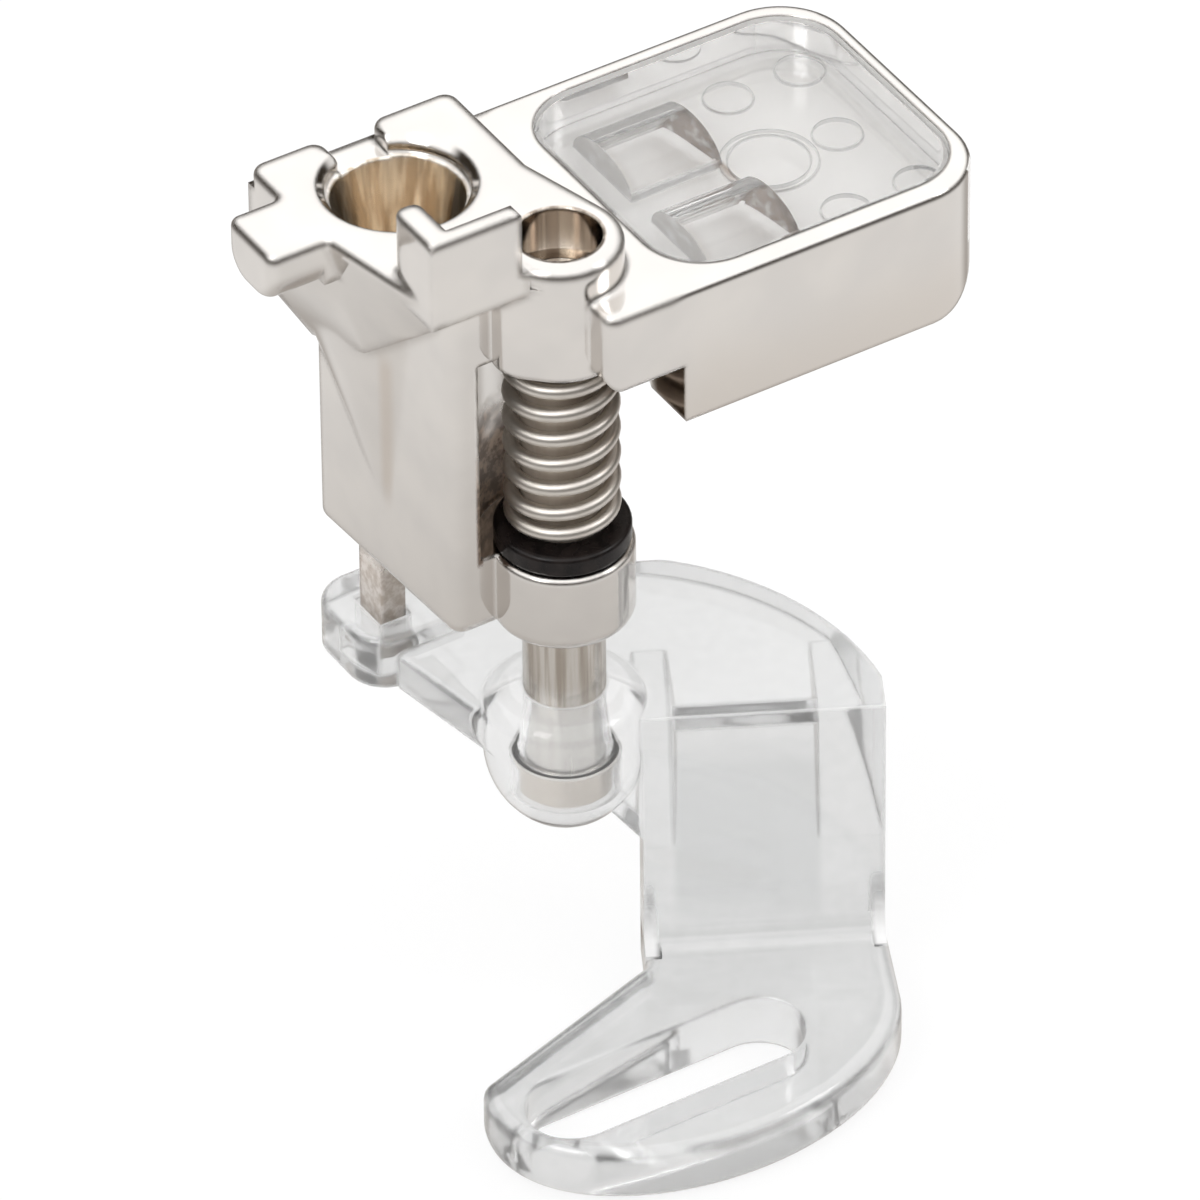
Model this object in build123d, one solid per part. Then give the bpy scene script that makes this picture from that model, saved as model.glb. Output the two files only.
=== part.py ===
from build123d import *
import os
from math import cos, radians, sin

# Sprung presser foot: a cast shank with a tapered socket and a lens housing carries a clear sole on a pin.
# The origin is on the socket's axis, in its parallel land. +X runs along the needle slot, -Y is the front.
# All sizes are in millimetres. Depths count down from the head's top face.
head_top = 0.50
# Cutting solids run past the faces they open by this much.
over = 1.0

# Tapered socket for the presser bar
socket_rim_d = 5.84
socket_land_d = 5.20
socket_land_depth = 0.68
socket_mouth_d = 4.86
socket_floor_d = 1.80
socket_depth = 10.0

# Head: two back prongs, a nose on the left and a raised claw at the front
head_left = -3.95
head_right = 4.40
head_back = 3.65
head_front = -3.30
head_thick = 2.00
head_round = 0.30
prong_corner = 0.55
notch_width = 2.05
notch_depth = 0.78
notch_start = 2.00
nose_reach = 2.15
nose_width = 3.00
nose_depth = 2.30
nose_corner = 0.40
nose_round = 1.20
claw_left = -2.85
claw_right = 0.85
claw_front = -6.95
claw_height = 2.75
claw_lip = 0.70
claw_horn_width = 1.05
claw_horn_length = 2.60
claw_horn_corner = 0.40
claw_drop = 1.00
claw_round = 0.24
claw_slope = 0.60

# Post under the head, with a flare on its left side and the socket's bulge
post_left_back = -1.50
post_left_front = -1.10
post_right = 3.30
post_front = -5.30
post_depth = 16.70
post_back_round = 0.55
post_front_round = 0.60
post_toe_round = 0.45
flare_back_start = 4.36
flare_back_depth = 8.60
flare_front_depth = 5.95
flare_overhang = 0.95
bulge_start_depth = 3.10
bulge_start_y = 2.90
bulge_start_reach = 2.63
bulge_start_spread = 6.50
bulge_end_rise = 3.10
bulge_end_y = -0.88
bulge_end_reach = 1.25
bulge_end_spread = 1.25

# Guide tooth under the post, running in the sole's slot
tooth_x = 0.00
tooth_y = 1.65
tooth_thick = 1.00
tooth_length = 1.50
tooth_dip = 0.90
tooth_clear = 0.15

# Guide pin, its two lugs, spring and stop ring
pin_x = 3.15
pin_y = -5.66
pin_d = 3.00
pin_slide_clear = 0.04
pin_top_depth = 2.00
pin_seat_floor = 0.80
pin_edge = 0.25
pin_head_d = 3.50
pin_head_height = 1.50
upper_lug_wall = 0.80
upper_lug_depth = 4.80
upper_lug_lean = 1.15
upper_lug_lean_r = 1.50
lower_lug_wall = 1.10
lower_lug_top = 13.52
lower_lug_height = 3.30
lower_lug_round = 0.50
lower_lug_rim = 0.20
ring_d = 4.96
ring_thick = 0.85
ring_groove = 0.20
ring_round = 0.20
stop_gap = 0.03
spring_wire = 0.48
spring_clear = 0.05
spring_active_turns = 5.5
spring_end_turns = 1.0
spring_end_pitch = 0.52
scoop_clear = 0.74

# Lens housing on the right of the head, flush with its back
housing_left = 2.95
housing_deep_left = 6.10
housing_right = 19.25
housing_front = -9.25
housing_drop = 1.50
housing_depth = 7.20
housing_web_depth = 4.75
housing_web_round = 0.60
housing_corner = 2.75
housing_left_corner = 0.50
housing_toe = 2.80
housing_round = 0.24
housing_wall = 0.90
window_left = 6.40
window_wall_right = 0.50
window_wall_front = 0.82
window_wall_back = 0.60
window_corner = 2.45
seat_ledge = 0.45
well_depth = 0.45
well_floor = 0.80

# Clear lens in the window, grooved and dimpled from below
lens_clear = 0.04
lens_recess = 0.15
lens_thick = 2.60
lens_edge = 0.18
lens_groove_start = 8.40
lens_groove_end = 12.20
lens_groove_r = 1.95
lens_groove_pitch = 5.20
dimple_r = 0.92
dimple_depth = 0.20
dimple_near_x = 14.50
dimple_far_x = 17.55
dimple_side = 3.90
ring_mark_x = 13.75
ring_mark_r = 1.80
ring_mark_width = 0.30

# Clear sole: arm plate and guide block
arm_depth = 20.90
arm_thick = 1.50
arm_back_start = (0.55, 4.15)
arm_back_bend = (9.67, -0.35)
arm_bulge = (13.36, -6.80)
arm_left_corner = (-0.65, -0.50)
block_left = -1.75
block_right = 2.20
block_front = -0.40
block_back = 4.15
block_rise = 0.60
block_round = 1.50
edge_round = 0.35

# Clear sole: boss on the pin
boss_r = 2.95
boss_top_r = 2.00
boss_rise = 0.70
boss_bowl_height = 3.10
boss_bottom_r = 1.80
dome_swell = 0.12
bowl_swell = 0.30

# Clear sole: wall with two ribs and a gusset to the boss
wall_left_x = 4.80
wall_left_y = -8.25
wall_angle = -27.5
wall_width = 8.75
wall_thick = 1.70
left_rib_thick = 1.20
right_rib_thick = 2.30
rib_height = 5.40
rib_reach = 3.20
gusset_thick = 1.10
gusset_drop = 1.50

# Clear sole: oval foot with the needle slot
slot_x = 1.85
slot_y = -14.38
slot_length = 11.30
slot_width = 3.40
slot_round = 0.20
slot_land_left = 0.90
slot_land_right = 4.20
slot_land_front = 2.97
slot_land_back = 4.53
sole_depth = 31.40
sole_thick = 2.30
sole_rim_land = 0.10
sole_back_rise = 1.85
sole_back_inset = 0.10
sole_corner = 0.70
toe_fillet = 0.90


def down(depth):
    """Height of a depth below the head's top face."""
    return head_top - depth


def block(x0, x1, y0, y1, z0, z1):
    """Box between two corners."""
    centre = Pos((x0 + x1) / 2, (y0 + y1) / 2, (z0 + z1) / 2)
    return centre * Box(x1 - x0, y1 - y0, z1 - z0)


def slab(outline, low, high):
    """Plan outline extruded between two heights."""
    return extrude(Plane.XY.offset(low) * outline, amount=high - low)


def rect(x0, x1, y0, y1):
    """Plan rectangle between two corners."""
    return Pos((x0 + x1) / 2, (y0 + y1) / 2) * Rectangle(x1 - x0, y1 - y0)


def side_face(points, y):
    """Face in the XZ plane at one Y, from (x, z) points."""
    corners = [(x, y, z) for x, z in points]
    return make_face(Polyline(*corners, close=True))


def pin_rod(radius, low, high):
    """Round rod on the pin's axis."""
    return Pos(pin_x, pin_y, (low + high) / 2) * Cylinder(radius, high - low)


pin_r = pin_d / 2
pin_head_r = pin_head_d / 2
upper_lug_r = pin_r + upper_lug_wall
lower_lug_r = pin_r + lower_lug_wall
lug_bore_r = pin_r + pin_slide_clear
lug_low = down(lower_lug_top + lower_lug_height)
ring_r = ring_d / 2
ring_low = down(lower_lug_top) + stop_gap
ring_high = ring_low + ring_thick
spring_low = ring_high + stop_gap
spring_high = down(upper_lug_depth)
lens_high = down(housing_drop + lens_recess)
lens_low = lens_high - lens_thick
window_middle = (housing_front + window_wall_front + head_back - window_wall_back) / 2
arm_low = down(arm_depth + arm_thick)
arm_high = down(arm_depth)
boss_high = arm_high + boss_rise
boss_low = arm_low - boss_bowl_height
pin_low = boss_low + pin_seat_floor
pin_high = down(pin_top_depth)
tooth_low = arm_high - tooth_dip
sole_length = slot_land_left + slot_length + slot_land_right
sole_width = slot_land_front + slot_width + slot_land_back
sole_x = slot_x + (slot_land_right - slot_land_left) / 2
sole_y = slot_y + (slot_land_back - slot_land_front) / 2
sole_round = slot_land_left - slot_round - sole_rim_land
sole_low = down(sole_depth + sole_thick)
sole_high = down(sole_depth)


def post_left(y):
    """X of the post's left face, which runs out towards the back."""
    share = (y - post_front) / (head_back - post_front)
    return post_left_front + share * (post_left_back - post_left_front)


def flare_solid():
    """Sloping underside that runs from the head's left edge and the claw into the post."""
    top = down(notch_depth)
    low_back = down(flare_back_depth)
    low_front = down(flare_front_depth)
    low_claw = down(claw_drop)
    ledge_back = head_round - nose_width / 2
    ledge_left = post_left(ledge_back) - flare_overhang
    front_slope = (ledge_left - head_left) / flare_front_depth
    back = side_face([(head_left, top), (head_left, down(flare_back_start)), (post_left_back, low_back),
                      (post_right, low_back), (post_right, top)], head_back)
    front = side_face([(head_left + front_slope * notch_depth, top),
                       (head_left + front_slope * head_thick, down(head_thick)), (ledge_left, low_front),
                       (post_right, low_front), (post_right, top)], ledge_back)
    ledge_right = claw_right + head_round
    rear = side_face([(head_left, head_top), (ledge_left, low_front), (ledge_right, low_front),
                      (ledge_right, head_top)], ledge_back)
    tip = side_face([(claw_left, head_top), (claw_left + claw_slope, low_claw), (ledge_right, low_claw),
                     (ledge_right, head_top)], claw_front)
    ledge = loft([rear, tip], ruled=True)
    ledge = fillet(ledge.edges().group_by(Axis.Z)[-1].sort_by(Axis.X)[0], head_round)
    return loft([back, front], ruled=True) + ledge


def head_plan():
    """Plan of the head with its nose and the flow round the pin lug, its corners softened."""
    half_nose = nose_width / 2
    nose_left = head_left - nose_reach
    plan = rect(head_left, head_right, -half_nose, head_back)
    plan += rect(nose_left, head_left + nose_reach, -half_nose, half_nose)
    shoulder = rect(claw_right, head_right, head_front, -half_nose)
    lug = Pos(pin_x, pin_y) * Circle(upper_lug_r)
    plan += make_hull((shoulder + lug).edges())
    for x, y, radius in ((nose_left, -half_nose, nose_corner), (nose_left, half_nose, nose_corner),
                         (head_left, half_nose, nose_corner), (head_left, head_back, prong_corner),
                         (head_right, head_back, prong_corner)):
        plan = fillet(plan.vertices().sort_by_distance((x, y))[0], radius)
    return plan


def nose_bar():
    """Nose with a half-round underside and softened end."""
    low = down(nose_depth)
    high = down(notch_depth)
    section = Pos(0, (low + high) / 2) * Rectangle(nose_width, high - low)
    section = fillet(section.vertices().group_by(Axis.Y)[0], nose_round)
    across = Plane(origin=(head_left - nose_reach, 0, 0), x_dir=(0, 1, 0), z_dir=(1, 0, 0))
    bar = extrude(across * section, amount=2 * nose_reach)
    end_edges = bar.edges().group_by(Axis.X)[0].sort_by(Axis.Z)[:-1]
    return fillet(end_edges, nose_corner)


def head_solid():
    """Head plate with its prongs and nose, rounded on top, and the flare under it."""
    half_nose = nose_width / 2
    plate = head_plan() - rect(head_left - 2 * nose_reach, head_left, -half_nose, half_nose)
    plate = slab(plate, down(head_thick), down(notch_depth))
    half_notch = notch_width / 2
    prongs = head_plan() - rect(-half_notch, half_notch, notch_start, head_back + over)
    for x in (-half_notch, half_notch):
        prongs = fillet(prongs.vertices().sort_by_distance((x, head_back))[0], prong_corner)
    prongs = slab(prongs, down(notch_depth), head_top)
    prongs = fillet(prongs.edges().group_by(Axis.Z)[-1], head_round)
    return plate + nose_bar() + prongs + flare_solid()


def claw_solid():
    """Raised front lip with a horn running back from its left end."""
    lip = rect(claw_left, claw_right, claw_front, claw_front + claw_lip)
    lip += rect(claw_left, claw_left + claw_horn_width, claw_front, claw_front + claw_horn_length)
    lip = fillet(lip.vertices().group_by(Axis.Y)[-1], claw_horn_corner)
    claw = slab(lip, down(claw_drop), head_top + claw_height)
    return fillet(claw.edges().group_by(Axis.Z)[-1], claw_round)


def post_solid():
    """Post with rounded corners, the socket's tapering bulge and the guide tooth."""
    plan = make_face(Polyline((post_left_back, head_back), (post_left_front, post_front),
                              (post_right, post_front), (post_right, head_back), close=True))
    plan = fillet(plan.vertices().sort_by(Axis.X)[0], post_back_round)
    plan = fillet(plan.vertices().sort_by(Axis.Y)[0:2].sort_by(Axis.X)[0], post_front_round)
    post = slab(plan, down(post_depth), down(claw_drop))
    post = fillet(post.edges().group_by(Axis.Z)[0], post_toe_round)
    bulge_high = down(bulge_start_depth)
    bulge_low = down(post_depth) + bulge_end_rise
    bulge = loft([Pos(0, bulge_start_y, bulge_high) * Ellipse(bulge_start_reach, bulge_start_spread),
                  Pos(0, bulge_end_y, bulge_low) * Ellipse(bulge_end_reach, bulge_end_spread)], ruled=True)
    bulge &= block(-bulge_start_reach, 0, post_front, head_back, down(post_depth), head_top)
    tooth = tooth_block(0, tooth_low, down(post_depth) + over)
    return post + bulge + tooth


def tooth_block(clear, low, high):
    """Box on the tooth's axis, grown sideways by a clearance."""
    middle = Pos(tooth_x, tooth_y, (low + high) / 2)
    return middle * Box(tooth_thick + 2 * clear, tooth_length + 2 * clear, high - low)


def lug_solids():
    """Upper and lower lugs that guide the pin."""
    eye = Pos(pin_x, pin_y) * Circle(upper_lug_r)
    lean = Pos(pin_x - upper_lug_lean, pin_y) * Circle(upper_lug_lean_r)
    upper = slab(make_hull((eye + lean).edges()), down(upper_lug_depth), down(notch_depth))
    lower = pin_rod(lower_lug_r, lug_low, down(lower_lug_top))
    lower = fillet(lower.edges().group_by(Axis.Z)[0], lower_lug_round)
    lower = fillet(lower.edges().group_by(Axis.Z)[-1], lower_lug_rim)
    return upper + lower


def housing_solid():
    """Lens housing: deep box with a rounded toe, hollow below, and a shallow web to the head."""
    low = down(housing_depth)
    high = down(housing_drop)
    web_low = down(housing_web_depth)
    profile = side_face([(housing_left, high), (housing_left, web_low), (housing_deep_left, web_low),
                         (housing_deep_left, low), (housing_right, low), (housing_right, high)], head_back)
    box = extrude(profile, amount=head_back - housing_front, dir=(0, -1, 0))
    across = box.edges().filter_by(Axis.Y)
    box = fillet(across.group_by(Axis.X)[-1].sort_by(Axis.Z)[0], housing_toe)
    box = fillet(box.edges().filter_by(Axis.Y).group_by(Axis.X)[0].sort_by(Axis.Z)[0], housing_web_round)
    plan = rect(housing_left, housing_right, housing_front, head_back)
    plan = fillet(plan.vertices().group_by(Axis.X)[-1], housing_corner)
    plan = fillet(plan.vertices().sort_by_distance((housing_left, housing_front))[0], housing_left_corner)
    box &= slab(plan, low, high)
    box = fillet(box.edges().group_by(Axis.Z)[-1], housing_round)
    hollow = rect(housing_deep_left + housing_wall, housing_right - housing_toe, housing_front + housing_wall,
                  head_back - housing_wall)
    hollow = fillet(hollow.vertices(), housing_wall)
    return box - slab(hollow, low, lens_low - well_depth - well_floor)


def window_plan(inset):
    """Rounded outline of the housing's window, drawn in by an inset."""
    plan = rect(window_left + inset, housing_right - window_wall_right - inset,
                housing_front + window_wall_front + inset, head_back - window_wall_back - inset)
    return fillet(plan.vertices(), window_corner - inset)


def window_cut():
    """Stepped pocket: a seat for the lens and a shallow well under it."""
    seat = slab(window_plan(0), lens_low, head_top)
    return seat + slab(window_plan(seat_ledge), lens_low - well_depth, lens_low)


def socket_cut():
    """Stepped and tapered socket, open at the head's top face."""
    rim_r = socket_rim_d / 2
    land_r = socket_land_d / 2
    rim_chamfer = rim_r - land_r
    floor = down(socket_depth)
    profile = Polyline((0, 0, head_top + over), (rim_r, 0, head_top + over), (rim_r, 0, head_top),
                       (land_r, 0, head_top - rim_chamfer), (land_r, 0, down(socket_land_depth)),
                       (socket_mouth_d / 2, 0, down(socket_land_depth)), (socket_floor_d / 2, 0, floor),
                       (0, 0, floor - socket_floor_d / 4), close=True)
    return revolve(make_face(profile), Axis.Z)


def shank_body():
    """The plated casting as one solid."""
    body = head_solid() + claw_solid() + post_solid() + lug_solids() + housing_solid()
    body -= socket_cut()
    body -= window_cut()
    body -= pin_rod(ring_r + scoop_clear, down(lower_lug_top), down(upper_lug_depth))
    return body - pin_rod(lug_bore_r, lug_low - over, head_top + over)


def sensor_lens():
    """Clear window with two half-round grooves, dimples and a ring mark on its underside."""
    lens = slab(window_plan(lens_clear), lens_low, lens_high)
    lens = chamfer(lens.edges().group_by(Axis.Z)[-1], lens_edge)
    groove_length = lens_groove_end - lens_groove_start
    groove_x = lens_groove_start + groove_length / 2
    for side in (-1, 1):
        groove_y = window_middle + side * lens_groove_pitch / 2
        lens -= Pos(groove_x, groove_y, lens_low) * Rot(0, 90, 0) * Cylinder(lens_groove_r, groove_length)
    dimples = [(dimple_near_x, dimple_side), (dimple_near_x, -dimple_side), (dimple_far_x, dimple_side),
               (dimple_far_x, -dimple_side), (dimple_far_x - dimple_r, 0)]
    for x, offset in dimples:
        lens -= Pos(x, window_middle + offset, lens_low) * Cylinder(dimple_r, 2 * dimple_depth)
    mark = Cylinder(ring_mark_r, 2 * dimple_depth)
    mark -= Cylinder(ring_mark_r - ring_mark_width, 2 * dimple_depth)
    return lens - Pos(ring_mark_x, window_middle, lens_low) * mark


def plunger_pin():
    """Steel pin with a head moulded into the sole, bevelled ends and the ring's groove."""
    pin = pin_rod(pin_r, pin_low, pin_high) + pin_rod(pin_head_r, pin_low, pin_low + pin_head_height)
    ends = pin.edges().filter_by(GeomType.CIRCLE).group_by(Axis.Z)
    pin = chamfer(ends[0] + ends[-1], pin_edge)
    sleeve = pin_rod(pin_r + over, ring_low, ring_high) - pin_rod(pin_r - ring_groove, ring_low, ring_high)
    return pin - sleeve


def stop_ring():
    """Black ring that sits in the pin's groove and stops on the lower lug."""
    ring = pin_rod(ring_r, ring_low, ring_high)
    ring = fillet(ring.edges().filter_by(GeomType.CIRCLE), ring_round)
    return ring - pin_rod(pin_r - ring_groove, ring_low - over, ring_high + over)


def compression_spring():
    """Round-wire coil with closed end turns."""
    coil_r = pin_r + spring_clear + spring_wire / 2
    end_rise = spring_end_turns * spring_end_pitch
    start = spring_low + spring_wire / 2
    active_rise = spring_high - spring_wire / 2 - start - 2 * end_rise
    stretches = [(spring_end_pitch, end_rise, spring_end_turns),
                 (active_rise / spring_active_turns, active_rise, spring_active_turns),
                 (spring_end_pitch, end_rise, spring_end_turns)]
    spring = None
    turned = 0.0
    z = start
    for pitch, rise, turns in stretches:
        path = Helix(pitch, rise, coil_r)
        wire = Plane(path @ 0, z_dir=path % 0) * Circle(spring_wire / 2)
        coil = sweep(wire, path=path)
        coil = Pos(pin_x, pin_y, z) * Rot(0, 0, 360 * turned) * coil
        spring = coil if spring is None else spring + coil
        turned += turns
        z += rise
    return spring


def wall_frame():
    """Plane of the wall's front left edge: X along the wall, Y into it, Z up."""
    along = (cos(radians(wall_angle)), sin(radians(wall_angle)), 0)
    return Plane(origin=(wall_left_x, wall_left_y, 0), x_dir=along, z_dir=(0, 0, 1))


def wall_point(along, inward):
    """Plan point measured from the wall's front left edge."""
    place = wall_frame().from_local_coords(Vector(along, inward, 0))
    return (place.X, place.Y)


def wall_foot():
    """Plan section of the wall, in its own frame."""
    return Rectangle(wall_width, wall_thick, align=(Align.MIN, Align.MIN))


def arm_plan():
    """Plan of the arm plate: straight front on the wall, curved back edge, left end under the post."""
    wall_right = wall_point(wall_width, wall_thick)
    edge = Polyline(wall_right, wall_point(wall_width, 0), wall_point(0, 0), (pin_x, pin_y),
                    (pin_x - boss_r, pin_y), arm_left_corner, arm_back_start, arm_back_bend)
    back_curve = ThreePointArc(arm_back_bend, arm_bulge, wall_right)
    return make_face([*edge.edges(), back_curve.edge()])


def arm_solid():
    """Arm plate with softened edges, the guide block and its slot."""
    arm = slab(arm_plan(), arm_low, arm_high)
    arm = fillet(arm.edges().group_by(Axis.Z)[-1].sort_by(Axis.Y)[-3:], edge_round)
    guide = rect(block_left, block_right, block_front, block_back)
    guide = fillet(guide.vertices().group_by(Axis.X)[0], block_round)
    rise = slab(guide, arm_low, arm_high + block_rise)
    rise = fillet(rise.edges().group_by(Axis.Z)[-1], edge_round)
    return arm + rise - tooth_block(tooth_clear, arm_low - over, arm_high + block_rise + over)


def boss_solid():
    """Round boss on the pin: a low dome above the arm and a bowl below it."""
    dome_mid = ((boss_top_r + boss_r) / 2 + dome_swell, 0, (boss_high + arm_high) / 2 + dome_swell)
    dome = ThreePointArc((boss_top_r, 0, boss_high), dome_mid, (boss_r, 0, arm_high))
    bowl_mid = ((boss_r + boss_bottom_r) / 2 + bowl_swell, 0, (arm_low + boss_low) / 2 - bowl_swell)
    bowl = ThreePointArc((boss_r, 0, arm_low), bowl_mid, (boss_bottom_r, 0, boss_low))
    outline = [Line((0, 0, boss_low), (0, 0, boss_high)), Line((0, 0, boss_high), (boss_top_r, 0, boss_high)),
               dome, Line((boss_r, 0, arm_high), (boss_r, 0, arm_low)), bowl,
               Line((boss_bottom_r, 0, boss_low), (0, 0, boss_low))]
    return Pos(pin_x, pin_y, 0) * revolve(make_face([part.edge() for part in outline]), Axis.Z)


def gusset_solid():
    """Web between the boss and the wall's left edge."""
    corner = Vector(*wall_point(gusset_thick / 2, gusset_thick / 2), 0)
    axis = Vector(pin_x, pin_y, 0)
    reach = (corner - axis).length
    along = (corner - axis).normalized()
    plane = Plane(origin=axis, x_dir=along, z_dir=along.cross(Vector(0, 0, 1)))
    face = make_face(Polyline((0, arm_high), (reach, arm_high), (reach, boss_low - gusset_drop),
                              (boss_bottom_r, boss_low), (0, boss_low), close=True))
    return extrude(plane * face, amount=gusset_thick / 2, both=True)


def wall_solid():
    """Upright wall between arm and sole, with two ribs under the arm and a fillet on the sole."""
    place = Location(wall_frame())
    wall = place * slab(wall_foot(), sole_low + sole_round, arm_high)
    under_arm = slab(arm_plan(), sole_low, arm_high)
    profile = Polyline((0, arm_low), (wall_thick + rib_reach, arm_low), (wall_thick, arm_low - rib_height),
                       (0, arm_low - rib_height), close=True)
    for thick, start in ((left_rib_thick, 0), (right_rib_thick, wall_width - right_rib_thick)):
        side = Plane(origin=(start, 0, 0), x_dir=(0, 1, 0), z_dir=(1, 0, 0))
        rib = place * extrude(side * make_face(profile), amount=thick)
        wall += rib & under_arm
    toe = block(0, wall_width, -toe_fillet, 0, sole_high, sole_high + toe_fillet)
    round_off = Pos(wall_width / 2, -toe_fillet, sole_high + toe_fillet) * Rot(0, 90, 0)
    toe -= round_off * Cylinder(toe_fillet, wall_width + over)
    return wall + place * toe


def on_slot(edge):
    """True for an edge of the needle slot."""
    middle = edge.center()
    along = abs(middle.X - slot_x) < slot_length / 2 + slot_round
    return along and abs(middle.Y - slot_y) < slot_width / 2 + slot_round


def sole_solid():
    """Oval foot with a straight back edge on the left, rounded all round, and its needle slot."""
    oval = Pos(sole_x, sole_y) * Ellipse(sole_length / 2, sole_width / 2)
    foot = Location(wall_frame()) * wall_foot()
    plan = make_hull((oval + foot).edges())
    front = sole_y - sole_width
    sole_back_left = (sole_x - sole_length / 2 + sole_back_inset, sole_y + sole_back_rise)
    keep = make_face(Polyline(sole_back_left, wall_point(0, -toe_fillet), wall_point(0, wall_thick),
                              wall_point(wall_width, wall_thick), (sole_x + sole_length, sole_y),
                              (sole_x + sole_length, front), (sole_x - sole_length, front),
                              (sole_x - sole_length, sole_y), close=True))
    plan &= keep
    corners = plan.vertices().filter_by(lambda corner: corner.Y > sole_back_left[1] - sole_corner)
    plan = fillet(corners, sole_corner)
    sole = slab(plan, sole_low, sole_high)
    rims = sole.edges().group_by(Axis.Z)
    sole = fillet(rims[0] + rims[-1], sole_round)
    slot = Pos(slot_x, slot_y) * SlotOverall(slot_length, slot_width)
    sole -= slab(slot, sole_low - over, sole_high + over)
    rims = sole.edges().filter_by(Plane.XY).filter_by(on_slot)
    return fillet(rims, slot_round)


def clear_sole():
    """The clear moulding as one solid, with the pin's seat."""
    sole = arm_solid() + boss_solid() + gusset_solid() + wall_solid() + sole_solid()
    sole -= pin_rod(pin_head_r, pin_low, pin_low + pin_head_height)
    return sole - pin_rod(pin_r, pin_low, boss_high + over)


nodes = {
    "shank_body": shank_body,
    "sensor_lens": sensor_lens,
    "plunger_pin": plunger_pin,
    "stop_ring": stop_ring,
    "compression_spring": compression_spring,
    "clear_sole": clear_sole,
}

os.makedirs("parts", exist_ok=True)
for name, make in nodes.items():
    export_step(make(), f"parts/{name}.step")
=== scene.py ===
from math import cos, pi, radians, sin

import bmesh
import bpy
from mathutils import Matrix, Vector


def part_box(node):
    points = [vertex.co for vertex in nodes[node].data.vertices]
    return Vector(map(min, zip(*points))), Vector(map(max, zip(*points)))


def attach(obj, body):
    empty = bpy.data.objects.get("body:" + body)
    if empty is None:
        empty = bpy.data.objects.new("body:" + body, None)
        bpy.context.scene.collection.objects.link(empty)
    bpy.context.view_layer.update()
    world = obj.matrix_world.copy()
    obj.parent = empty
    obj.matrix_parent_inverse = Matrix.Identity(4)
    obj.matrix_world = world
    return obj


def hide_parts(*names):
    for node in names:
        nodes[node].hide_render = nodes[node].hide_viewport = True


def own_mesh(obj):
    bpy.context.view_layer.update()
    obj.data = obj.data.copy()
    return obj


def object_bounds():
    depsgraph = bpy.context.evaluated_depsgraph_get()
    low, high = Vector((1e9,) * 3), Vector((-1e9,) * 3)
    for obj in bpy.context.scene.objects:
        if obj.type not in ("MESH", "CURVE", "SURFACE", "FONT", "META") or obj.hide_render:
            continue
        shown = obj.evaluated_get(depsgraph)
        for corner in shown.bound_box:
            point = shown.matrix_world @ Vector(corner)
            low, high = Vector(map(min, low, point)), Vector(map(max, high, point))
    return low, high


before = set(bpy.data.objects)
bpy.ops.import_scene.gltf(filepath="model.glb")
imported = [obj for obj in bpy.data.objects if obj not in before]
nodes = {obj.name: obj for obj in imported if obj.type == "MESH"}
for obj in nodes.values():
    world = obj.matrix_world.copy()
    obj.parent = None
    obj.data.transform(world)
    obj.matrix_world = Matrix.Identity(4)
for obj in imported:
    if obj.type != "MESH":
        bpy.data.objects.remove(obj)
cad_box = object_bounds()

MM = 0.001

# The photograph's camera: where it stands, and where the socket's middle falls in the picture
photo_px = 1200
focal_px = 15000
px_per_mm = 28.5
socket_px = (397.5, 181.0)
camera_turn = radians(-31.7)
camera_height = radians(39.0)
camera_roll = radians(-0.6)
sensor_mm = 36.0

# Casting, in millimetres: head, socket, lugs, post and housing
head_top = 0.50
head_low = -2.20
head_end_x = 5.50
socket_mouth_r = 2.43
socket_mouth_z = -0.18
socket_low = -10.50
socket_taper = 1.53 / 9.32
socket_rim_r = 3.00
lug_low = -4.30
pin_hole_r = 1.60
scoop_r = 3.22
scoop_low = -13.40
scoop_foot_levels = (-9.0, -6.6)
post_low = -16.20
post_side_x = -0.95
post_side_z = -2.40
flank_y = -1.60
flank_z = -5.70
flank_lean = -0.085
flank_half = 0.45
flank_side_x = -0.60
flank_low = -13.40
flank_high = -5.00
housing_front = -9.15
notch_x = 6.10
web_low = -4.25
pocket_low = (6.30, -8.53, -4.40)
pocket_high = (18.85, 3.15, -1.05)

# Rounding of the casting's edges, in millimetres
edge_r = 0.24
head_edge_r = 0.50
post_edge_r = 0.70

# Lens plate, in millimetres
lens_low = -3.75
lens_rim = 0.80
lens_ease = 0.03
arch_ends = (8.40, 12.20)
arch_top = -1.50

# Guide pin and spring, in millimetres and turns
pin_axis = (3.15, -5.66)
pin_r = 1.50
pin_bright_z = -1.70
pin_head_z = -22.70
pin_ease = 0.05
spring_shade_low = -12.60
spring_shade_high = -4.20
spring_wire = 0.56
spring_clear = 0.05
spring_active_turns = 5.5
spring_end_turns = 1.0
spring_end_pitch = 0.58
steps_a_turn = 40
wire_sides = 16

# Clear sole, in millimetres
boss_r = 2.95
boss_low = -25.0
boss_high = -19.7
sole_top = -30.9
wall_corner = (4.80, -8.25)
wall_angle = radians(-27.5)
wall_width = 8.75
wall_panel = (1.20, 6.45)
panel_low = -30.6
panel_high = -22.2
toe_fillet = 0.90

# Floor, in metres; then where it changes in metal and through plastic, in millimetres from the pin
floor_r = 3.0
floor_drop = 0.0001
floor_bright = (10.0, 48.0)
floor_dark = (57.0, 95.0)
floor_dim = (40.0, 90.0)

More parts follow.
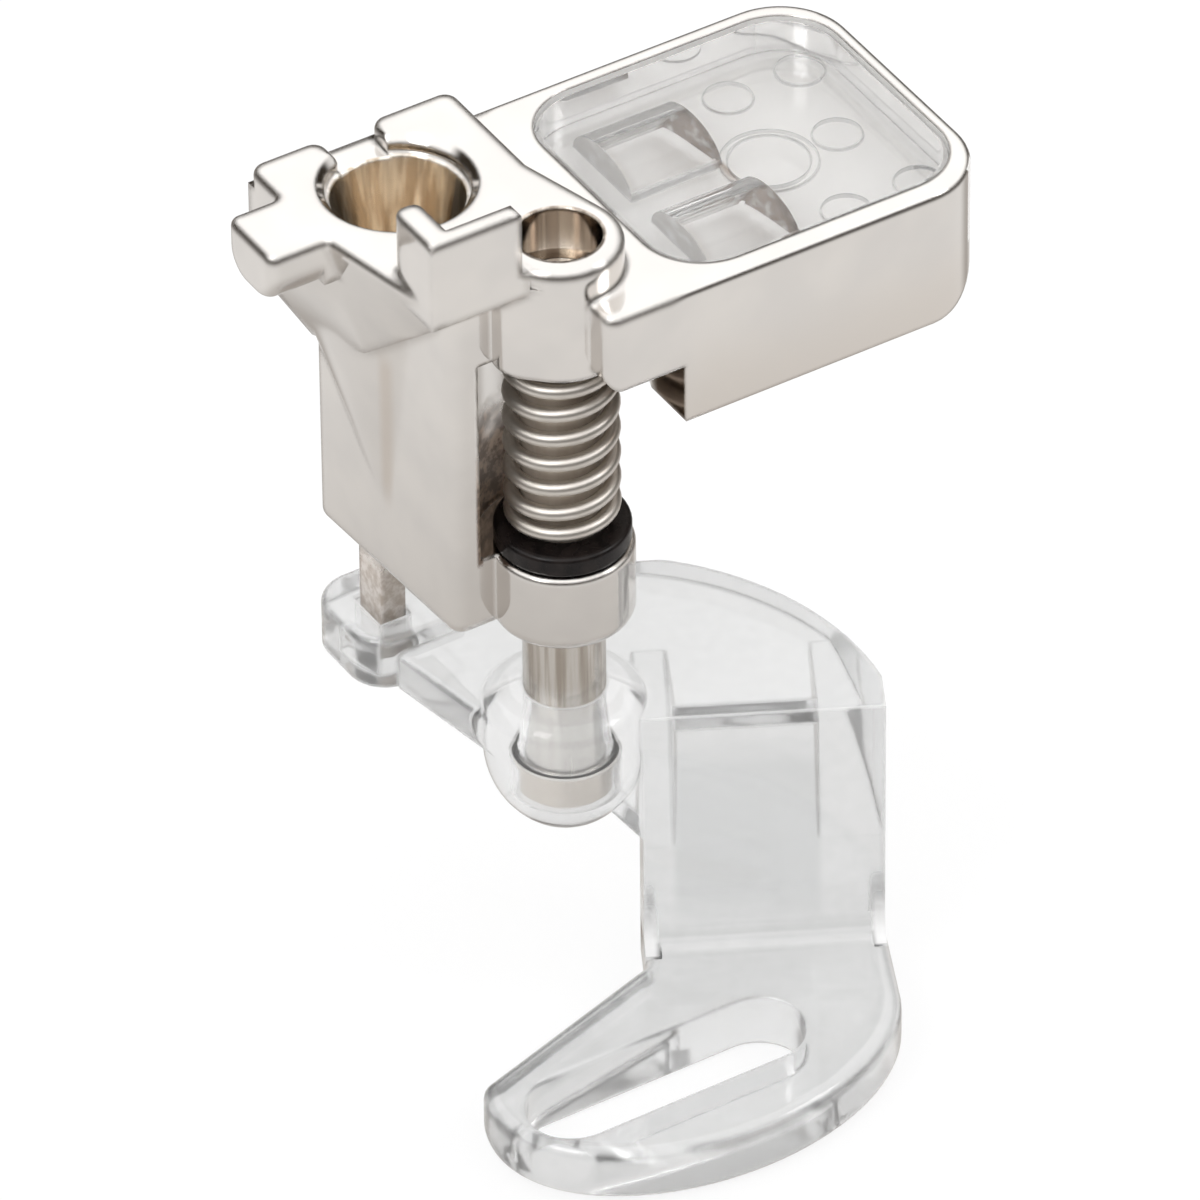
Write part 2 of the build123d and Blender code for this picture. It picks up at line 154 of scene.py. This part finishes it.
# Bearings of the dark sectors of the floor and of the dark cards, in degrees: start, full, fading, end
dark_sectors = ((74.0, 92.0, 92.0, 110.0), (-8.0, 12.0, 12.0, 32.0))
dark_cards = ((-158.0, -140.0, -58.0, -38.0), (108.0, 124.0, 152.0, 166.0))

# Heights in the room, as sines of the elevation
horizon = (-0.10, 0.03)
ceiling_edge = (0.29, 0.42)
ceiling_full = (0.35, 0.60)
ceiling_through = (0.20, 0.55)
card_rise = 0.17


class Wire:
    """A socket of a shader tree. Sums and products of wires add Math nodes."""

    def __init__(self, tree, socket=None):
        self.tree = tree
        self.socket = socket

    def node(self, kind, settings=None, inputs=None, output=0):
        """Adds a node: its settings first, then the values or wires of its sockets."""
        made = self.tree.nodes.new(kind)
        for name, value in (settings or {}).items():
            setattr(made, name, value)
        for name, value in (inputs or {}).items():
            if isinstance(value, Wire):
                self.tree.links.new(value.socket, made.inputs[name])
            else:
                made.inputs[name].default_value = value
        return Wire(self.tree, made.outputs[output]) if len(made.outputs) else made

    def math(self, operation, first, second):
        return self.node("ShaderNodeMath", {"operation": operation}, {0: first, 1: second})

    def __add__(self, other):
        return self.math("ADD", self, other)

    def __radd__(self, other):
        return self.math("ADD", other, self)

    def __sub__(self, other):
        return self.math("SUBTRACT", self, other)

    def __rsub__(self, other):
        return self.math("SUBTRACT", other, self)

    def __mul__(self, other):
        return self.math("MULTIPLY", self, other)

    def __rmul__(self, other):
        return self.math("MULTIPLY", other, self)

    def __abs__(self):
        return self.math("ABSOLUTE", self, 0.0)

    def rise(self, low, high):
        """Smooth step from 0 at low to 1 at high."""
        return self.node("ShaderNodeMapRange", {"interpolation_type": "SMOOTHSTEP"},
                         {"Value": self, "From Min": low, "From Max": high})

    def fall(self, low, high):
        """Smooth step from 1 at low to 0 at high."""
        return 1 - self.rise(low, high)

    def band(self, start, full, fading, end):
        """Smooth band: 0 up to start, 1 from full to fading, 0 after end."""
        return self.rise(start, full) * self.fall(fading, end)

    def most(self, other):
        """The larger of two values."""
        return self.math("MAXIMUM", self, other)

    def blend(self, first, second):
        """Colour that runs from first to second with this wire."""
        return self.node("ShaderNodeMix", {"data_type": "RGBA"}, {0: self, 6: first, 7: second}, 2)


def colour(red, green, blue):
    """Colour with full alpha."""
    return (red, green, blue, 1.0)


def grey(level):
    """Neutral colour of a level."""
    return colour(level, level, level)


def new_finish(name):
    """Empty material, its first wire, and this piece's coordinates in millimetres."""
    material = bpy.data.materials.new(name)
    material.use_nodes = True
    material.node_tree.nodes.clear()
    start = Wire(material.node_tree)
    place = start.node("ShaderNodeTexCoord", output="Object")
    place = start.node("ShaderNodeVectorMath", {"operation": "SCALE"}, {0: place, "Scale": 1 / MM})
    return material, start, place


def polish(start, **sockets):
    """Principled surface; a socket is named with low lines for its blanks."""
    return start.node("ShaderNodeBsdfPrincipled", None, {name.replace("_", " "): value
                                                         for name, value in sockets.items()})


def end_finish(start, shader):
    """Joins the finished shader to the material's output."""
    start.node("ShaderNodeOutputMaterial", None, {"Surface": shader})


def grain(place, per_mm, detail=2.0, rough=0.5, stretch=(1.0, 1.0, 1.0)):
    """Noise of so many grains to a millimetre, drawn out along an axis by a small stretch."""
    drawn = place.node("ShaderNodeMapping", None, {"Vector": place, "Scale": stretch})
    return place.node("ShaderNodeTexNoise", None,
                      {"Vector": drawn, "Scale": per_mm, "Detail": detail, "Roughness": rough}, "Fac")


def soft_edges(start, radius):
    """Normal that rounds off the edges by a radius in millimetres."""
    return start.node("ShaderNodeBevel", {"samples": 6}, {"Radius": radius * MM})


def bump(height, depth, normal=None):
    """Normal with a height field of so many millimetres laid on it."""
    inputs = {"Height": height, "Distance": depth * MM, "Strength": 1.0}
    if normal:
        inputs["Normal"] = normal
    return height.node("ShaderNodeBump", None, inputs)


def split(place):
    """The three coordinates of a place as wires."""
    return [place.node("ShaderNodeSeparateXYZ", None, {0: place}, axis) for axis in "XYZ"]


def facing(start):
    """The direction that the surface faces."""
    return start.node("ShaderNodeNewGeometry", output="Normal")


def edge_share(start, radius):
    """1 along edges, within a radius in millimetres, and 0 on open faces."""
    turned = start.node("ShaderNodeVectorMath", {"operation": "DOT_PRODUCT"},
                        {0: soft_edges(start, radius), 1: facing(start)}, "Value")
    return abs(turned).fall(0.80, 0.99)


def in_box(place, low, high, soft=0.05):
    """1 inside an upright box given by two corners, in millimetres."""
    inside = 1.0
    for axis, start, end in zip(split(place), low, high):
        inside = inside * axis.band(start, start + soft, end - soft, end)
    return inside


def axis_distance(place, centre):
    """Distance from an upright axis, in millimetres."""
    moved = place.node("ShaderNodeVectorMath", {"operation": "SUBTRACT"}, {0: place, 1: (*centre, 0.0)})
    flat = place.node("ShaderNodeVectorMath", {"operation": "MULTIPLY"}, {0: moved, 1: (1.0, 1.0, 0.0)})
    return place.node("ShaderNodeVectorMath", {"operation": "LENGTH"}, {0: flat}, "Value")


def nickel_casting():
    """Nickel plate on a zinc casting: soft edges, slow waves, a golden socket with painted reflection
    streaks, a scoop darker towards its foot, and painted shade on the tooth, flank, notch, pin hole and
    lower housing.
    """
    material, start, place = new_finish("nickel_casting")
    x, y, z = split(place)
    clouds = grain(place, 0.35)
    ripple = grain(place, 1.1)
    mottle = grain(place, 2.2, 3.0, 0.6)
    pits = grain(place, 7.0)
    streaks = grain(place, 1.5, 2.0, 0.6, (1.0, 1.0, 0.03))
    from_pin = axis_distance(place, pin_axis)
    from_socket = axis_distance(place, (0.0, 0.0))

    # Places of the casting that have a finish of their own or painted shade
    scoop = from_pin.band(scoop_r - 0.16, scoop_r - 0.06, scoop_r + 0.06, scoop_r + 0.20)
    scoop = scoop * z.band(scoop_low, scoop_low + 0.3, lug_low - 0.2, lug_low + 0.1)
    # The scoop turns darker, browner and duller towards its foot
    scoop_foot = scoop * (z + 3.0 * grain(place, 0.8, 3.0)).fall(*scoop_foot_levels)
    # Painted shade: the face under the web by the notch is painted dark brown
    notch = x.band(notch_x - 0.30, notch_x - 0.10, notch_x + 0.05, notch_x + 0.12)
    notch = notch * z.fall(web_low - 0.15, web_low - 0.05) * y.rise(housing_front, housing_front + 0.1)
    # Painted shade: the bore of the pin hole is painted darker, streaked brown
    pin_hole = from_pin.fall(pin_hole_r, pin_hole_r + 0.1) * z.rise(lug_low - 0.1, lug_low + 0.1)
    # Painted shade: the tooth below the post is painted mottled brown where it lies in shadow
    tooth = (z - 1.6 * mottle).fall(post_low - 2.6, post_low - 1.2)
    bore = socket_mouth_r + (z - socket_mouth_z) * socket_taper
    inside = (from_socket - bore).fall(0.05, 0.15)
    inside = inside * z.band(socket_low, socket_low + 0.6, socket_mouth_z - 0.02, socket_mouth_z + 0.02)
    # Painted shade: a darker warm streak down the post's flank stands in for the shading of a bulge
    off_flank = abs(y - (flank_y + (z - flank_z) * flank_lean))
    flank = off_flank.fall(0.1 * flank_half, flank_half) * x.fall(flank_side_x - 0.3, flank_side_x)
    flank = flank * z.band(flank_low, flank_low + 1.9, flank_high - 1.4, flank_high)
    pocket = in_box(place, pocket_low, pocket_high)
    # Painted shade: the housing is painted darker and warmer towards its bottom, a painted darker reflection
    lower_housing_shade = x.rise(4.0, 7.0) * (z + 1.5 * clouds).fall(-6.0, -1.5)

    # Colours, each laid over the last
    # Golden tone inside the socket; its light and dark streaks are painted reflections
    gold_and_streak_sheen = streaks.rise(0.40, 0.60).blend(colour(0.58, 0.49, 0.39), colour(0.97, 0.93, 0.86))
    # Mottled brown painted shade for the tooth
    tooth_shade = mottle.rise(0.36, 0.66).blend(colour(0.52, 0.44, 0.37), colour(0.82, 0.76, 0.71))
    # Streaked brown painted shade for the pin hole
    pin_hole_shade = streaks.rise(0.40, 0.60).blend(colour(0.25, 0.19, 0.14), colour(0.62, 0.55, 0.47))
    # Darker brown for the scoop's foot
    scoop_foot_brown = mottle.rise(0.40, 0.62).blend(colour(0.16, 0.105, 0.070), colour(0.46, 0.34, 0.25))
    plate = clouds.rise(0.30, 0.70).blend(colour(0.705, 0.678, 0.648), colour(0.660, 0.636, 0.612))
    # Painted shade on the lower housing
    plate = (0.8 * lower_housing_shade).blend(plate, colour(0.620, 0.575, 0.530))
    plate = inside.blend(plate, gold_and_streak_sheen)
    plate = (0.8 * tooth).blend(plate, tooth_shade)
    # Painted shade streak on the flank
    plate = (0.7 * flank).blend(plate, colour(0.605, 0.545, 0.490))
    plate = (0.8 * pin_hole).blend(plate, pin_hole_shade)
    # Painted shade under the web
    plate = (0.8 * notch).blend(plate, colour(0.24, 0.17, 0.12))
    plate = (0.95 * scoop).blend(plate, colour(0.86, 0.845, 0.825))
    plate = (0.94 * scoop_foot).blend(plate, scoop_foot_brown)
    plate = pocket.blend(plate, colour(0.965, 0.955, 0.940))

    # Gloss, and the rounding of the edges
    roughness = 0.075 + 0.03 * pits + 0.14 * scoop + 0.16 * scoop_foot
    roughness = roughness + 0.10 * inside + 0.25 * pocket + 0.22 * tooth
    metallic = 1 - 0.9 * pocket - 0.6 * scoop_foot - 0.35 * tooth
    on_post = x.fall(post_side_x - 0.3, post_side_x) * z.fall(post_side_z - 0.8, post_side_z)
    on_head = x.fall(head_end_x, head_end_x + 0.8) * z.rise(head_low, head_low + 0.6)
    on_head = on_head * from_pin.rise(pin_hole_r + 0.2, pin_hole_r + 0.4)
    on_head = on_head * from_socket.rise(socket_rim_r, socket_rim_r + 0.3)
    rounding = edge_r + (head_edge_r - edge_r) * on_head + (post_edge_r - edge_r) * on_post
    normal = bump(clouds, 0.014, soft_edges(start, rounding))
    normal = bump(ripple, 0.0025, normal)
    normal = bump(pits * (0.15 + 1.2 * scoop + 1.2 * tooth), 0.0014, normal)
    end_finish(start, polish(start, Base_Color=plate, Metallic=metallic, Roughness=roughness, Normal=normal))
    return material


def ground_steel():
    """Ground steel pin: lines along it, painted darker brown shade inside the spring, painted lighter in the
    boss, lighter at its top.
    """
    material, start, place = new_finish("ground_steel")
    z = split(place)[2]
    lines = grain(place, 3.2, 2.0, 0.6, (1.0, 1.0, 0.04))
    # Painted shade: inside the spring the pin is painted darker brown and made less metallic
    in_spring_shade = z.band(spring_shade_low, spring_shade_low + 0.6, spring_shade_high - 0.4, spring_shade_high)
    # Painted light: below the boss's top the pin is painted lighter, warmer tan at its head
    moulded_in = z.fall(boss_high - 0.1, boss_high + 0.1)
    steel = lines.rise(0.35, 0.65).blend(colour(0.42, 0.375, 0.325), colour(0.66, 0.63, 0.59))
    steel = (0.85 * in_spring_shade).blend(steel, colour(0.50, 0.43, 0.36))
    steel = (0.8 * moulded_in).blend(steel, colour(0.84, 0.82, 0.79))
    steel = z.fall(pin_head_z - 0.1, pin_head_z).blend(steel, colour(0.74, 0.68, 0.61))
    steel = z.rise(pin_bright_z, pin_bright_z + 0.15).blend(steel, colour(0.82, 0.80, 0.77))
    end_finish(start, polish(start, Base_Color=steel, Metallic=1 - 0.6 * in_spring_shade,
                             Roughness=0.20 + 0.10 * lines + 0.15 * in_spring_shade,
                             Normal=bump(lines, 0.002, soft_edges(start, 0.08))))
    return material


def spring_wire_steel():
    """Drawn wire with a dull gloss, in two tones along its turns."""
    material, start, place = new_finish("drawn_spring_wire")
    lines = grain(place, 4.0, 2.0, 0.5, (0.35, 0.35, 1.0))
    wire = lines.rise(0.3, 0.7).blend(colour(0.75, 0.71, 0.66), colour(0.67, 0.63, 0.58))
    end_finish(start, polish(start, Base_Color=wire, Metallic=1.0, Roughness=0.38 + 0.08 * lines,
                             Normal=bump(lines, 0.0006)))
    return material


def black_ring():
    """Black moulded ring with a soft gloss."""
    material, start, place = new_finish("soft_black")
    skin = grain(place, 1.6)
    tone = skin.rise(0.3, 0.7).blend(colour(0.006, 0.005, 0.005), colour(0.016, 0.012, 0.011))
    end_finish(start, polish(start, Base_Color=tone, Roughness=0.16 + 0.10 * skin, Specular_IOR_Level=0.20,
                             Normal=soft_edges(start, 0.12)))
    return material


def with_milk(start, clear, share, tone):
    """Clear shader that turns milky by a share."""
    milk = polish(start, Base_Color=tone, Roughness=0.25, IOR=1.3)
    return start.node("ShaderNodeMixShader", None, {0: share, 1: clear, 2: milk})


def clear_moulding():
    """Clear moulded plastic: faintly grey, with painted shade greying the panel between its ribs, milky on
    its edges.
    """
    material, start, place = new_finish("clear_moulding")
    x, y, z = split(place)
    flow = grain(place, 0.28)
    haze = grain(place, 2.0)
    from_corner = (x - wall_corner[0], y - wall_corner[1])
    along = from_corner[0] * cos(wall_angle) + from_corner[1] * sin(wall_angle)
    inward = from_corner[1] * cos(wall_angle) - from_corner[0] * sin(wall_angle)
    # Painted shade: the panel between the ribs is painted greyer
    panel = along.band(wall_panel[0] - 0.2, wall_panel[0] + 0.2, wall_panel[1] - 0.2, wall_panel[1] + 0.2)
    panel = panel * z.band(panel_low, panel_low + 1.2, panel_high - 0.8, panel_high)
    boss = axis_distance(place, pin_axis).fall(boss_r + 0.05, boss_r + 0.20)
    boss = boss * z.rise(boss_low - 0.5, boss_low - 0.2)
    toe_end = along.fall(0.3, 0.6) + along.rise(wall_width - 0.6, wall_width - 0.3)
    toe_end = toe_end * inward.rise(-0.35 - toe_fillet, -0.20 - toe_fillet)
    toe_end = toe_end * z.band(sole_top, sole_top + 0.02, sole_top + toe_fillet, sole_top + 2.5 * toe_fillet)
    tone = haze.rise(0.3, 0.7).blend(colour(0.830, 0.832, 0.830), colour(0.800, 0.802, 0.800))
    tone = (0.85 * panel).blend(tone, colour(0.72, 0.725, 0.725))
    tone = boss.blend(tone, grey(0.95))
    polished = {"Base_Color": tone, "Roughness": 0.03 + 0.03 * haze, "Transmission_Weight": 0.88,
                "Coat_Weight": 0.8, "Coat_Roughness": 0.03,
                "Normal": bump(flow, 0.05, soft_edges(start, 0.32))}
    sole = polish(start, **polished, IOR=1.36)
    round_pin = polish(start, **polished, IOR=1.10)
    clear = start.node("ShaderNodeMixShader", None, {0: boss, 1: sole, 2: round_pin})
    milky = (0.5 * edge_share(start, 0.28)).most(0.85 * toe_end)
    end_finish(start, with_milk(start, clear, milky, grey(0.94)))
    return material


def clear_lens():
    """Clear lens plate: milky on its edges and in its dimples, with painted brown shade at the ends of its
    arches.
    """
    material, start, place = new_finish("clear_lens_plate")
    x, y, z = split(place)
    low, high = [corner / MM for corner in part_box("sensor_lens")]
    rim = Vector((lens_rim, lens_rim, -lens_rim))
    flow = grain(place, 0.35)
    haze = grain(place, 2.5)
    under = z.fall(lens_low + 0.05, lens_low + 0.30)
    left_end = x.band(arch_ends[0] - 0.2, arch_ends[0], arch_ends[0], arch_ends[0] + 0.5)
    right_end = x.band(arch_ends[1] - 0.5, arch_ends[1], arch_ends[1], arch_ends[1] + 0.2)
    # Painted shade: the end faces of the arches are painted brown
    brown = (0.3 * left_end + right_end) * grain(place, 0.9).rise(0.25, 0.55)
    brown = brown * z.band(lens_low + 0.02, lens_low + 0.10, arch_top - 0.2, arch_top)
    brown = brown * y.fall(high.y - 1.0, high.y - 0.7)
    upright = abs(split(facing(start))[2]).fall(0.10, 0.40)
    tone = haze.rise(0.3, 0.7).blend(colour(0.990, 0.986, 0.980), colour(0.978, 0.974, 0.968))
    tone = brown.blend(tone, colour(0.26, 0.17, 0.11))
    clear = polish(start, Base_Color=tone, Roughness=0.02 + 0.02 * haze + 0.08 * under, IOR=1.33,
                   Transmission_Weight=0.97, Coat_Weight=0.5, Coat_Roughness=0.02,
                   Normal=bump(flow, 0.02, soft_edges(start, 0.10)))
    milky = (0.45 * edge_share(start, 0.14)).most(0.75 * upright * in_box(place, low + rim, high - rim))
    end_finish(start, with_milk(start, clear, milky, tone))
    return material


def new_piece(name):
    """Empty piece in the scene."""
    piece = bpy.data.objects.new(name, bpy.data.meshes.new(name))
    bpy.context.collection.objects.link(piece)
    return piece


def eased_copy(node, name, body):
    """Piece that stands for a solid, and a copy of the solid's mesh with its triangles joined, to ease."""
    piece = new_piece(name)
    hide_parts(node)
    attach(piece, body)
    mesh = bmesh.new()
    mesh.from_mesh(nodes[node].data)
    bmesh.ops.remove_doubles(mesh, verts=mesh.verts, dist=0.0005 * MM)
    for face in mesh.faces:
        face.smooth = True
    return piece, mesh


def close_copy(piece, mesh):
    """Ends the easing of a copy and keeps its corners sharp."""
    mesh.to_mesh(piece.data)
    mesh.free()
    piece.data.attributes.remove(piece.data.attributes["custom_normal"])
    piece.data.set_sharp_from_angle(angle=radians(30))
    return piece


def guide_pin():
    """Pin with a hair of room in the boss, so that the clear plastic shows it cleanly."""
    piece, mesh = eased_copy("plunger_pin", "guide_pin", "sole")
    top = Vector((*pin_axis, boss_high)) * MM
    parts = mesh.verts[:] + mesh.edges[:] + mesh.faces[:]
    bmesh.ops.bisect_plane(mesh, geom=parts, plane_co=top, plane_no=(0.0, 0.0, 1.0), dist=0.001 * MM)
    low = [vert for vert in mesh.verts if vert.co.z < top.z - 0.01 * MM]
    bmesh.ops.scale(mesh, vec=(1 - pin_ease, 1 - pin_ease, 1.0), space=Matrix.Translation(-top), verts=low)
    return close_copy(piece, mesh)


def lens_plate():
    """Lens lifted a hair off its seat, so that the seat shows cleanly through it."""
    piece, mesh = eased_copy("sensor_lens", "lens_plate", "shank")
    bmesh.ops.translate(mesh, vec=(0.0, 0.0, lens_ease * MM), verts=mesh.verts)
    return close_copy(piece, mesh)


def spring_coil():
    """Compression spring: a round wire wound with a close turn at each end."""
    low, high = [corner.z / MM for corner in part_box("compression_spring")]
    coil_r = pin_r + spring_clear + spring_wire / 2
    end_rise = spring_end_turns * spring_end_pitch
    active_rise = high - low - spring_wire - 2 * end_rise
    mesh = bmesh.new()
    bmesh.ops.create_circle(mesh, radius=spring_wire / 2, segments=wire_sides)
    upright = Matrix.Translation((coil_r, 0.0, 0.0)) @ Matrix.Rotation(pi / 2, 4, "X")
    bmesh.ops.transform(mesh, matrix=upright, verts=mesh.verts)
    bmesh.ops.translate(mesh, vec=(0.0, 0.0, low + spring_wire / 2), verts=mesh.verts)
    section = mesh.verts[:] + mesh.edges[:]
    for turns, rise in ((spring_end_turns, end_rise), (spring_active_turns, active_rise),
                        (spring_end_turns, end_rise)):
        steps = round(turns * steps_a_turn)
        wound = bmesh.ops.spin(mesh, geom=section, cent=(0.0, 0.0, 0.0), axis=(0.0, 0.0, 1.0),
                               dvec=(0.0, 0.0, rise / steps), angle=2 * pi * turns, steps=steps)
        section = wound["geom_last"]
    bmesh.ops.holes_fill(mesh, edges=mesh.edges)
    bmesh.ops.recalc_face_normals(mesh, faces=mesh.faces)
    bmesh.ops.translate(mesh, vec=(*pin_axis, 0.0), verts=mesh.verts)
    bmesh.ops.scale(mesh, vec=(MM, MM, MM), verts=mesh.verts)
    for face in mesh.faces:
        face.smooth = len(face.verts) == 4
    coil = new_piece("spring_coil")
    mesh.to_mesh(coil.data)
    mesh.free()
    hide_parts("compression_spring")
    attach(coil, "shank")
    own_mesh(coil)
    return coil


def photo_camera():
    """Camera at the photograph's angle, set so that the socket falls where the photograph has it."""
    back = Vector((sin(camera_turn) * cos(camera_height), -cos(camera_turn) * cos(camera_height),
                   sin(camera_height)))
    right = Vector((cos(camera_turn), sin(camera_turn), 0.0))
    right = Matrix.Rotation(camera_roll, 3, back) @ right
    up = back.cross(right)
    distance = focal_px / px_per_mm
    across = (socket_px[0] - photo_px / 2) / px_per_mm
    above = (photo_px / 2 - socket_px[1]) / px_per_mm
    stand = Vector((0.0, 0.0, head_top)) - across * right - above * up + distance * back
    data = bpy.data.cameras.new("photo_camera")
    data.sensor_width = sensor_mm
    data.lens = focal_px / photo_px * sensor_mm
    data.clip_start = 0.05
    data.clip_end = 10.0
    camera = bpy.data.objects.new("photo_camera", data)
    bpy.context.collection.objects.link(camera)
    turned = Matrix((right, up, back)).transposed().to_4x4()
    camera.matrix_world = Matrix.Translation(stand * MM) @ turned
    bpy.context.scene.camera = camera


def ray_is(start, kind):
    """1 for rays of a kind, such as Camera, Glossy or Transmission."""
    return start.node("ShaderNodeLightPath", output=f"Is {kind} Ray")


def toward(x, y, bearings):
    """Soft band of a way's bearing, given by four bearings in degrees."""
    turn = x.math("ARCTAN2", y, x)
    return turn.band(*[radians(bearing) for bearing in bearings])


def studio_floor():
    """Plain pale floor under the sole: white to the eye, warm grey near the foot where metal mirrors it."""
    mesh = bmesh.new()
    bmesh.ops.create_circle(mesh, cap_ends=True, radius=floor_r, segments=64)
    bmesh.ops.translate(mesh, vec=(0.0, 0.0, cad_box[0].z - floor_drop), verts=mesh.verts)
    floor = new_piece("studio_floor")
    mesh.to_mesh(floor.data)
    mesh.free()
    material, start, place = new_finish("pale_floor")
    x, y = split(place)[:2]
    away = axis_distance(place, pin_axis)
    mirrored = away.rise(*floor_bright).blend(colour(0.56, 0.53, 0.50), colour(0.93, 0.915, 0.90))
    mirrored = away.rise(*floor_dark).blend(mirrored, colour(0.070, 0.055, 0.042))
    for sector in dark_sectors:
        dim = toward(x - pin_axis[0], y - pin_axis[1], sector)
        mirrored = (0.75 * dim).blend(mirrored, colour(0.22, 0.18, 0.145))
    through = away.rise(*floor_dim).blend(grey(0.96), grey(0.50))
    seen = ray_is(start, "Transmission").blend(mirrored, through)
    seen = ray_is(start, "Camera").blend(seen, grey(1.0))
    glow = start.node("ShaderNodeEmission", None, {"Color": seen, "Strength": 1.0})
    paper = grain(place, 0.05).blend(grey(0.90), grey(0.88))
    shaded = start.node("ShaderNodeBsdfDiffuse", None, {"Color": paper})
    direct = ray_is(start, "Camera").most(ray_is(start, "Glossy")).most(ray_is(start, "Transmission"))
    surface = start.node("ShaderNodeMixShader", None, {0: 0.85 * direct, 1: shaded, 2: glow})
    under = start.node("ShaderNodeNewGeometry", output="Backfacing")
    clear = start.node("ShaderNodeBsdfTransparent")
    end_finish(start, start.node("ShaderNodeMixShader", None, {0: under, 1: surface, 2: clear}))
    floor.data.materials.append(material)


def studio_room():
    """Soft room: a bright ceiling over a dim warm band and two dark cards, white to the eye."""
    world = bpy.data.worlds.new("studio_room")
    bpy.context.scene.world = world
    world.use_nodes = True
    world.node_tree.nodes.clear()
    start = Wire(world.node_tree)
    x, y, height = split(start.node("ShaderNodeTexCoord", output="Generated"))
    front_card, back_card = [toward(x, y, bearings) for bearings in dark_cards]
    over_cards = height - card_rise * (front_card + back_card)
    room = height.rise(*horizon).blend(colour(0.90, 0.88, 0.86), colour(0.045, 0.036, 0.027))
    ceiling = height.rise(*ceiling_full).blend(colour(0.95, 0.94, 0.93), grey(1.55))
    room = over_cards.rise(*ceiling_edge).blend(room, ceiling)
    through = height.rise(*ceiling_through).blend(grey(0.46), grey(1.15))
    room = ray_is(start, "Transmission").blend(room, through)
    room = ray_is(start, "Camera").blend(room, grey(1.0))
    start.node("ShaderNodeOutputWorld", None, {
        "Surface": start.node("ShaderNodeBackground", None, {"Color": room})})


def softbox(name, place, size, watts):
    """Square soft lamp that looks at the foot."""
    data = bpy.data.lights.new(name, "AREA")
    data.size = size
    data.energy = watts
    lamp = bpy.data.objects.new(name, data)
    bpy.context.collection.objects.link(lamp)
    middle = (cad_box[0] + cad_box[1]) / 2
    away = Vector(place) - middle
    lamp.matrix_world = Matrix.Translation(place) @ away.to_track_quat("Z", "Y").to_matrix().to_4x4()


def dress(node, material):
    """Gives a carried-over solid its finish."""
    slots = nodes[node].data.materials
    for index in range(len(slots)):
        slots[index] = material


dress("shank_body", nickel_casting())
dress("stop_ring", black_ring())
dress("clear_sole", clear_moulding())
guide_pin().data.materials.append(ground_steel())
lens_plate().data.materials.append(clear_lens())
spring_coil().data.materials.append(spring_wire_steel())

photo_camera()
studio_floor()
studio_room()
softbox("left_softbox", place=(-0.30, -0.12, 0.32), size=0.16, watts=0.35)
softbox("right_softbox", place=(0.28, -0.22, 0.30), size=0.12, watts=0.20)
bpy.context.scene.view_settings.view_transform = "Standard"
